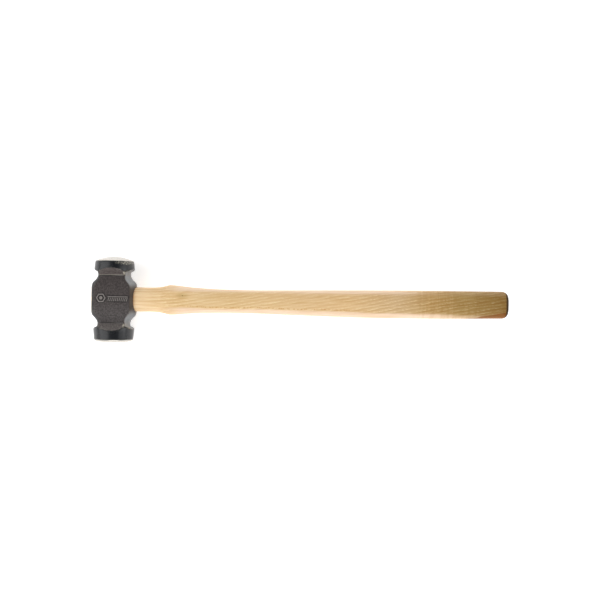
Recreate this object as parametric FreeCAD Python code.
"""Double-faced rounding hammer, lying on its side.

A forged steel head on a straight ash handle, held by one wooden wedge and two small steel
wedges. The head is made about its own centre first: +X runs down the handle to the butt,
+Y points out of the crowned face, and +Z out of the upper cheek. The finished pieces are
then shifted together, so that the origin is the middle of the box's underside.
"""

import FreeCAD, Part
import math
import os

V = FreeCAD.Vector

# ---- head, millimetres: radii are about the striking axis, distances are along it ----
BARREL_RADIUS = 24.9       # at the middle of the head
BARREL_EDGE_RADIUS = 24.4  # where the barrel turns into the slope
SHOULDER_AT = 17.4
SHOULDER_ROUND = 2.2       # of the barrel's shoulder at the head's middle plane,
CHEEK_SHOULDER_ROUND = 11  # and up beside the cheeks, which gives them their curved outline
SLOPE = math.radians(46)   # of the shoulder that runs down to the neck
CROWN_RING_RADIUS = 22.0   # at each ring's inner edge
CROWN_RIM_RADIUS = 21.0
CROWN_RIM_AT = 41.9
CROWN_HEIGHT = 4.8         # how far the crowned face stands out of its rim
FLAT_RING_RADIUS = 22.3
FLAT_RIM_RADIUS = 21.1
FLAT_RIM_AT = 45.4
FLAT_HEIGHT = 2.1          # how far the flat face stands out of its rim
FLAT_DISC_RADIUS = 11.0    # the truly flat middle of the flat face
RIM_ROUND = 0.8

# ---- necks: four hollows pressed into the sides, between the barrel and the rings ----
NECK_HALF_WIDTH = 17.8
NECK_AT = 27.4             # distance of the neck's slimmest place from the centre
NECK_HOLLOW = 8.4          # radius of the hollow
LEDGE_AT = 32.1            # foot of the ring's inner ledge
LEDGE_LEAN = 0.18          # how far the ledge leans outward, per millimetre
HOLLOW_IN = 3.8            # how much closer to the middle the hollow lies beside the cheeks,
HOLLOW_BACK = 2.2          # and how much nearer to the barrel
HOLLOW_TURN = 15.0         # height above the middle plane where that shift is complete
HOLLOW_TOP = 23.0          # the hollows run this far above and below the middle plane
HOLLOW_SECTIONS = 13
HOLLOW_REACH = 8.0         # the hollow is cut this far past the barrel, so that it opens outward,
FLARE = 2.0                # and leaves the barrel's side this far out,
FLARE_BACK = 8.0           # and this far back from the shoulder's round

# ---- cheeks: the two broad sides forged across the barrel ----
CHEEK_HALF_DEPTH = 15.0    # at the middle of the head
RIDGE_HALF_DEPTH = 12.3    # at the ridge where cheek and ramp meet
RIDGE_AT = 26.0
RAMP_RISE = 1.217          # of the ramp, per millimetre towards the ring
RAMP_LENGTH = 12.0
CHEEK_EDGE_ROUND = 1.2
CLEAR = 5.0                # how far the cutting shapes run past the steel

# ---- generic raised mark on the upper cheek ----
MARK_HEIGHT = 0.35
MARK_ROOT = 0.6            # how deep the figures are rooted, since the cheek falls away from its middle
MARK_BADGE_X = -11.3
MARK_BADGE_Y = 1.1
MARK_BADGE_RADIUS = 5.2
MARK_BADGE_WALL = 1.3
MARK_CORE_RADIUS = 2.0
MARK_LINE_WIDTH = 0.8
MARK_LINE_START = -4.0
MARK_LINE_LENGTH = 22.0
MARK_LINE_Y = 2.9
MARK_TICKS = 11
MARK_TICK_HEIGHT = 3.8
MARK_TICK_TOP = 1.5
MARK_TICK_LEAN = 0.9

# ---- handle: distance from the striking axis, height (along Y), thickness (along Z), bow ----
EYE_TOP = -27.0            # the tenon's blank stands out of the eye, then is dressed back
NECK_STATIONS = [
    (EYE_TOP, 27.8, 20.2, 0.0),
    (0.0, 25.8, 18.4, 0.0),
    (27.0, 26.9, 19.4, 0.0),
    (41.0, 26.7, 19.4, 0.0),
    (52.0, 28.4, 20.4, 0.0),
    (61.0, 32.8, 23.2, 0.0),
]
SHAFT_STATIONS = [
    (61.0, 32.8, 23.2, 0.0),
    (66.0, 32.0, 22.9, 0.0),
    (76.0, 30.7, 22.3, -0.1),
    (98.0, 27.3, 20.6, -0.3),
    (139.0, 25.5, 19.5, -0.6),
    (205.0, 27.8, 20.9, -1.0),
    (270.0, 30.3, 22.4, -1.2),
    (350.0, 30.7, 22.7, -0.8),
    (426.0, 29.8, 22.1, 0.0),
]
NECK_SECTIONS = 17         # evenly spaced sections that the surface is drawn through
SHAFT_SECTIONS = 26
SQUARING_SECTIONS = 4      # how many of them the oval takes to turn flatter-sided
BUTT = 433.0               # the far end of the handle
BUTT_EASE = 7.6            # how much the rounded butt draws in all round, over its last stretch
BUTT_TURNS = (0, 20, 40, 60, 75, 86)
TENON_POWER = 2.2          # roundness of the oval: 2 is an ellipse, more is squarer
GRIP_POWER = 2.6
OVAL_POINTS = 24
EYE_CLEARANCE = 0.02       # between the tenon and the eye's wall
TENON_END_RADIUS = 24.6    # the tenon is dressed to the barrel's curve, just under flush
DRESS_REACH = 30.0

# ---- wedges ----
WOOD_WEDGE_TIP = 6.0
WOOD_WEDGE_THICK = 4.6
WOOD_WEDGE_TIP_THICK = 1.0
KERF_WIDTH = 1.2
KERF_END = 13.0
STEEL_WEDGE_TIP = -10.0
STEEL_WEDGE_WIDTH = 12.0
STEEL_WEDGE_THICK = 2.8
STEEL_WEDGE_TIP_THICK = 0.6
STEEL_WEDGE_BARBS = 4
BARB_STEP = 0.25
STEEL_WEDGE_OFFSET = 6.6   # from the middle of the eye, along its length


def line(a, b):
    return Part.LineSegment(V(*a), V(*b)).toShape()


def arc(a, middle, b):
    return Part.Arc(V(*a), V(*middle), V(*b)).toShape()


def turned_head():
    """The plain turned body, before necks and cheeks: one outline turned about the striking axis."""
    def to_ring(side, ring_radius):
        slope_foot = SHOULDER_AT + (BARREL_EDGE_RADIUS - ring_radius) / math.tan(SLOPE)
        ring_inner = (ring_radius, side * LEDGE_AT, 0)
        shoulder = (BARREL_EDGE_RADIUS, side * SHOULDER_AT, 0)
        foot = (ring_radius, side * slope_foot, 0)
        return shoulder, ring_inner, [line(shoulder, foot), line(foot, ring_inner)]

    shoulder_a, ring_a, edges_a = to_ring(1, CROWN_RING_RADIUS)
    shoulder_b, ring_b, edges_b = to_ring(-1, FLAT_RING_RADIUS)
    crown_rim = (CROWN_RIM_RADIUS, CROWN_RIM_AT, 0)
    crown_top = (0, CROWN_RIM_AT + CROWN_HEIGHT, 0)
    ball = (CROWN_RIM_RADIUS ** 2 + CROWN_HEIGHT ** 2) / (2 * CROWN_HEIGHT)
    half_way = CROWN_RIM_RADIUS / 2
    crown_middle = (half_way, crown_top[1] - ball + math.sqrt(ball ** 2 - half_way ** 2), 0)

    flat_rim = (FLAT_RIM_RADIUS, -FLAT_RIM_AT, 0)
    flat_y = -(FLAT_RIM_AT + FLAT_HEIGHT)
    rolled = FLAT_RIM_RADIUS - FLAT_DISC_RADIUS
    roll = (rolled ** 2 + FLAT_HEIGHT ** 2) / (2 * FLAT_HEIGHT)
    flat_middle = (FLAT_DISC_RADIUS + rolled / 2, flat_y + roll - math.sqrt(roll ** 2 - rolled ** 2 / 4), 0)
    disc_edge = (FLAT_DISC_RADIUS, flat_y, 0)
    disc_centre = (0, flat_y, 0)

    outline = [line(disc_centre, disc_edge), arc(disc_edge, flat_middle, flat_rim), line(flat_rim, ring_b)]
    outline += edges_b
    outline += [arc(shoulder_b, (BARREL_RADIUS, 0, 0), shoulder_a)]
    outline += edges_a
    outline += [line(ring_a, crown_rim), arc(crown_rim, crown_middle, crown_top)]
    outline += [line(crown_top, disc_centre)]
    wire = Part.Wire(Part.__sortEdges__(outline))
    head = Part.Face(wire).revolve(V(0, 0, 0), V(0, 1, 0), 360)
    rims = []
    for edge in head.Edges:
        if not edge.Degenerated and isinstance(edge.Curve, Part.Circle):
            for radius, along in ((CROWN_RIM_RADIUS, CROWN_RIM_AT), (FLAT_RIM_RADIUS, -FLAT_RIM_AT)):
                if abs(edge.Curve.Radius - radius) < 0.01 and abs(edge.Curve.Center.y - along) < 0.01:
                    rims.append(edge)
    return head.makeFillet(RIM_ROUND, rims)


def hollow_outline(x_side, y_side, height):
    """Section of one neck hollow at a height above the middle plane, open to the outside."""
    turn = min(abs(height) / HOLLOW_TURN, 1) * math.pi / 2
    shift = math.sin(turn) ** 2
    step_in, step_back = HOLLOW_IN * shift, HOLLOW_BACK * shift

    def at(x, y):
        return (x_side * (x - step_in), y_side * (y - step_back), height)

    def on_hollow(angle):
        width = NECK_HALF_WIDTH + NECK_HOLLOW * (1 - math.cos(angle))
        return width, NECK_AT - NECK_HOLLOW * math.sin(angle)

    top = on_hollow(SLOPE)
    foot = on_hollow(-math.asin((LEDGE_AT - NECK_AT) / NECK_HOLLOW))
    shoulder_round = SHOULDER_ROUND + (CHEEK_SHOULDER_ROUND - SHOULDER_ROUND) * shift
    round_x = BARREL_EDGE_RADIUS - shoulder_round
    across = shoulder_round - (top[0] - round_x) * math.cos(SLOPE)
    round_y = top[1] - across / math.sin(SLOPE)

    def on_round(angle):
        return round_x + shoulder_round * math.cos(angle), round_y + shoulder_round * math.sin(angle)

    barrel_turn = 2 * math.asin((BARREL_RADIUS - BARREL_EDGE_RADIUS) / SHOULDER_AT)
    slope_start = on_round(SLOPE)
    round_end = on_round(barrel_turn)
    outer = BARREL_RADIUS + HOLLOW_REACH
    ledge_end = (outer, foot[1] + (outer - foot[0]) * LEDGE_LEAN)
    flare = (BARREL_RADIUS + FLARE, round_end[1] - FLARE_BACK)
    edges = [
        line(at(*ledge_end), at(*foot)),
        arc(at(*foot), at(*on_hollow(0)), at(*top)),
        line(at(*top), at(*slope_start)),
        arc(at(*slope_start), at(*on_round((SLOPE + barrel_turn) / 2)), at(*round_end)),
        line(at(*round_end), at(*flare)),
        line(at(*flare), at(outer, flare[1])),
        line(at(outer, flare[1]), at(*ledge_end)),
    ]
    return Part.Wire(edges)


def neck_hollow(x_side, y_side):
    heights = [HOLLOW_TOP * (2 * k / (HOLLOW_SECTIONS - 1) - 1) for k in range(HOLLOW_SECTIONS)]
    return Part.makeLoft([hollow_outline(x_side, y_side, h) for h in heights], True, False)


def cheek_block():
    """The space between the two cheeks and their ramps, open towards both faces."""
    ramp_end = RIDGE_AT + RAMP_LENGTH
    ramp_top = RIDGE_HALF_DEPTH + RAMP_LENGTH * RAMP_RISE
    far = FLAT_RIM_AT + FLAT_HEIGHT + CLEAR
    side = -(BARREL_RADIUS + CLEAR)

    def at(along, depth):
        return (side, along, depth)

    edges = []
    for up in (1, -1):
        middle = at(0, up * CHEEK_HALF_DEPTH)
        edges.append(arc(at(-RIDGE_AT, up * RIDGE_HALF_DEPTH), middle, at(RIDGE_AT, up * RIDGE_HALF_DEPTH)))
        for end in (1, -1):
            edges.append(line(at(end * RIDGE_AT, up * RIDGE_HALF_DEPTH), at(end * ramp_end, up * ramp_top)))
            edges.append(line(at(end * ramp_end, up * ramp_top), at(end * far, up * ramp_top)))
    for end in (1, -1):
        edges.append(line(at(end * far, ramp_top), at(end * far, -ramp_top)))
    wire = Part.Wire(Part.__sortEdges__(edges))
    return Part.Face(wire).extrude(V(-2 * side, 0, 0))


def raised(points):
    """A low raised figure on the upper cheek, from its outline."""
    root = CHEEK_HALF_DEPTH - MARK_ROOT
    corners = [V(x, y, root) for x, y in points]
    wire = Part.makePolygon(corners + corners[:1])
    return Part.Face(wire).extrude(V(0, 0, CHEEK_HALF_DEPTH + MARK_HEIGHT - root))


def hexagon(radius):
    turns = [math.radians(60 * i) for i in range(6)]
    return [(MARK_BADGE_X + radius * math.cos(t), MARK_BADGE_Y + radius * math.sin(t)) for t in turns]


def cheek_mark():
    """A generic mark: a hexagon with a solid middle, a rule, and a row of slanted ticks."""
    badge = raised(hexagon(MARK_BADGE_RADIUS)).cut(raised(hexagon(MARK_BADGE_RADIUS - MARK_BADGE_WALL)))
    figures = [badge, raised(hexagon(MARK_CORE_RADIUS))]
    rule_end = MARK_LINE_START + MARK_LINE_LENGTH
    rule_low = MARK_LINE_Y - MARK_LINE_WIDTH
    figures.append(raised([(MARK_LINE_START, rule_low), (rule_end, rule_low),
                           (rule_end, MARK_LINE_Y), (MARK_LINE_START, MARK_LINE_Y)]))
    pitch = MARK_LINE_LENGTH / MARK_TICKS
    for i in range(MARK_TICKS):
        x = MARK_LINE_START + i * pitch
        low = MARK_TICK_TOP - MARK_TICK_HEIGHT
        lean = MARK_TICK_LEAN
        figures.append(raised([(x, low), (x + MARK_LINE_WIDTH, low),
                               (x + MARK_LINE_WIDTH + lean, MARK_TICK_TOP), (x + lean, MARK_TICK_TOP)]))
    return figures


def oval(station, power, clearance=0.0):
    """A closed oval across the handle; a higher power has flatter sides and squarer corners."""
    along, height, thick, bow = station
    points = []
    for i in range(OVAL_POINTS):
        turn = 2 * math.pi * i / OVAL_POINTS
        c, s = math.cos(turn), math.sin(turn)
        y = bow + (height / 2 + clearance) * math.copysign(abs(c) ** (2 / power), c)
        z = (thick / 2 + clearance) * math.copysign(abs(s) ** (2 / power), s)
        points.append(V(along, y, z))
    curve = Part.BSplineCurve()
    curve.interpolate(Points=points, PeriodicFlag=True,
                      Parameters=[i / OVAL_POINTS for i in range(OVAL_POINTS + 1)])
    return Part.Wire(curve.toShape())


def slopes(stations):
    """How fast each measure changes at each station, taken from the stations beside it."""
    result = []
    for i in range(len(stations)):
        before = stations[max(i - 1, 0)]
        after = stations[min(i + 1, len(stations) - 1)]
        run = after[0] - before[0]
        result.append([(b - a) / run for a, b in zip(before, after)])
    return result


def evenly(stations, count):
    """Evenly spaced stations on the smooth curve that runs through the given ones."""
    change = slopes(stations)
    result = []
    for n in range(count):
        along = stations[0][0] + (stations[-1][0] - stations[0][0]) * n / (count - 1)
        i = max(k for k in range(len(stations) - 1) if stations[k][0] <= along + 1e-9)
        run = stations[i + 1][0] - stations[i][0]
        t = (along - stations[i][0]) / run
        station = []
        for k in range(4):
            start, end = stations[i][k], stations[i + 1][k]
            bend = (1 + 2 * t) * (1 - t) ** 2 * start + t * t * (3 - 2 * t) * end
            bend += run * (t * (1 - t) ** 2 * change[i][k] - t * t * (1 - t) * change[i + 1][k])
            station.append(bend)
        result.append(tuple(station))
    return result


def neck_blank(clearance=0.0):
    """The handle from the tenon to the shoulder. The eye is cut with it, a little larger."""
    stations = evenly(NECK_STATIONS, NECK_SECTIONS)
    return Part.makeLoft([oval(s, TENON_POWER, clearance) for s in stations], True, False)


def shaft_blank():
    """The handle from the shoulder to the grip's end; its oval soon turns flatter-sided."""
    stations = evenly(SHAFT_STATIONS, SHAFT_SECTIONS)
    ovals = []
    for number, station in enumerate(stations):
        power = min(GRIP_POWER, TENON_POWER + (GRIP_POWER - TENON_POWER) * number / SQUARING_SECTIONS)
        ovals.append(oval(station, power))
    return Part.makeLoft(ovals, True, False)


def butt_blank():
    """The rounded end: the grip's oval drawn in along a quarter of an ellipse."""
    start, height, thick, bow = SHAFT_STATIONS[-1]
    stations = []
    for turn in BUTT_TURNS:
        draw = 2 * BUTT_EASE * (1 - math.cos(math.radians(turn)))
        along = start + (BUTT - start) * math.sin(math.radians(turn)) / math.sin(math.radians(BUTT_TURNS[-1]))
        stations.append((along, height - draw, thick - draw, bow))
    return Part.makeLoft([oval(s, GRIP_POWER) for s in stations], True, False)


def dress(shape):
    """Trims what stands out of the top of the eye to the barrel's own curve."""
    width = 2 * DRESS_REACH
    outside = Part.makeBox(DRESS_REACH, width, width, V(-DRESS_REACH, -DRESS_REACH, -DRESS_REACH))
    barrel = Part.makeCylinder(TENON_END_RADIUS, width, V(0, -DRESS_REACH, 0), V(0, 1, 0))
    return shape.cut(outside.cut(barrel))


def taper(outline, axis, width):
    """A wedge from its half outline: distance from the axis, then half thickness."""
    mirrored = [(x, -half) for x, half in reversed(outline)]
    if axis == "Y":
        corners = [V(x, -width / 2, half) for x, half in outline + mirrored]
        sweep = V(0, width, 0)
    else:
        corners = [V(x, half, -width / 2) for x, half in outline + mirrored]
        sweep = V(0, 0, width)
    return Part.Face(Part.makePolygon(corners + corners[:1])).extrude(sweep)


def wooden_wedge_blank():
    outline = [(EYE_TOP, WOOD_WEDGE_THICK / 2), (WOOD_WEDGE_TIP, WOOD_WEDGE_TIP_THICK / 2)]
    return taper(outline, "Y", 2 * BARREL_RADIUS)


def saw_kerf():
    """What is left of the saw cut beyond the wooden wedge's tip."""
    length = KERF_END - WOOD_WEDGE_TIP
    corner = V(WOOD_WEDGE_TIP, -BARREL_RADIUS, -KERF_WIDTH / 2)
    return Part.makeBox(length, 2 * BARREL_RADIUS, KERF_WIDTH, corner)


def steel_wedge_blank():
    """A flat wedge whose two broad sides step out in barbs that grip the wood."""
    length = STEEL_WEDGE_TIP - EYE_TOP
    outline = []
    for i in range(STEEL_WEDGE_BARBS + 1):
        share = i / (STEEL_WEDGE_BARBS + 1)
        along = EYE_TOP + length * share
        half = (STEEL_WEDGE_THICK + (STEEL_WEDGE_TIP_THICK - STEEL_WEDGE_THICK) * share) / 2
        outline.append((along, half))
        if i:
            outline.insert(-1, (along, half - BARB_STEP))
    outline.append((STEEL_WEDGE_TIP, STEEL_WEDGE_TIP_THICK / 2))
    return taper(outline, "Z", STEEL_WEDGE_WIDTH)


def forged_head():
    """The turned head with four hollows and two cheeks struck into it, the cheeks' long edges eased."""
    hollows = [neck_hollow(x_side, y_side) for x_side in (1, -1) for y_side in (1, -1)]
    head = turned_head().cut(hollows).common(cheek_block()).Solids[0]
    edges = []
    for face in head.Faces:
        broad = isinstance(face.Surface, Part.Cylinder) and face.Surface.Radius > 2 * BARREL_RADIUS
        if broad:
            edges += [edge for edge in face.Edges if not isinstance(edge.Curve, Part.Line)]
    return head.makeFillet(CHEEK_EDGE_ROUND, edges)


# ---- the pieces ----
head = forged_head().cut(neck_blank(EYE_CLEARANCE)).fuse(cheek_mark())

neck = neck_blank()
handle = dress(neck).fuse([shaft_blank(), butt_blank()])

wooden_wedge = dress(wooden_wedge_blank().common(neck))
steel_wedges = []
for side in (1, -1):
    wedge = steel_wedge_blank()
    wedge.translate(V(0, side * STEEL_WEDGE_OFFSET, 0))
    steel_wedges.append(dress(wedge))

handle = handle.cut([wooden_wedge_blank(), saw_kerf()] + steel_wedges)
wooden_wedge = wooden_wedge.cut(steel_wedges)

pieces = {"hammer_head": head, "handle": handle, "wooden_wedge": wooden_wedge}
for number, wedge in enumerate(steel_wedges, 1):
    pieces[f"steel_wedge_{number}"] = wedge

# ---- put the origin in the middle of the box's underside ----
whole = head.optimalBoundingBox(False, False)
whole.add(handle.optimalBoundingBox(False, False))
to_origin = V(-whole.Center.x, -whole.Center.y, -whole.ZMin)

os.makedirs("parts", exist_ok=True)
for name, shape in pieces.items():
    shape.translate(to_origin)
    shape.exportStep(f"parts/{name}.step")
    box = shape.optimalBoundingBox(False, False)
    print(f"{name}: {len(shape.Solids)} solid, {len(shape.Faces)} faces, {shape.Volume / 1000:.1f} cm3, "
          f"valid {shape.isValid()}, X {box.XMin:.2f}..{box.XMax:.2f}, "
          f"Y {box.YMin:.2f}..{box.YMax:.2f}, Z {box.ZMin:.2f}..{box.ZMax:.2f}")
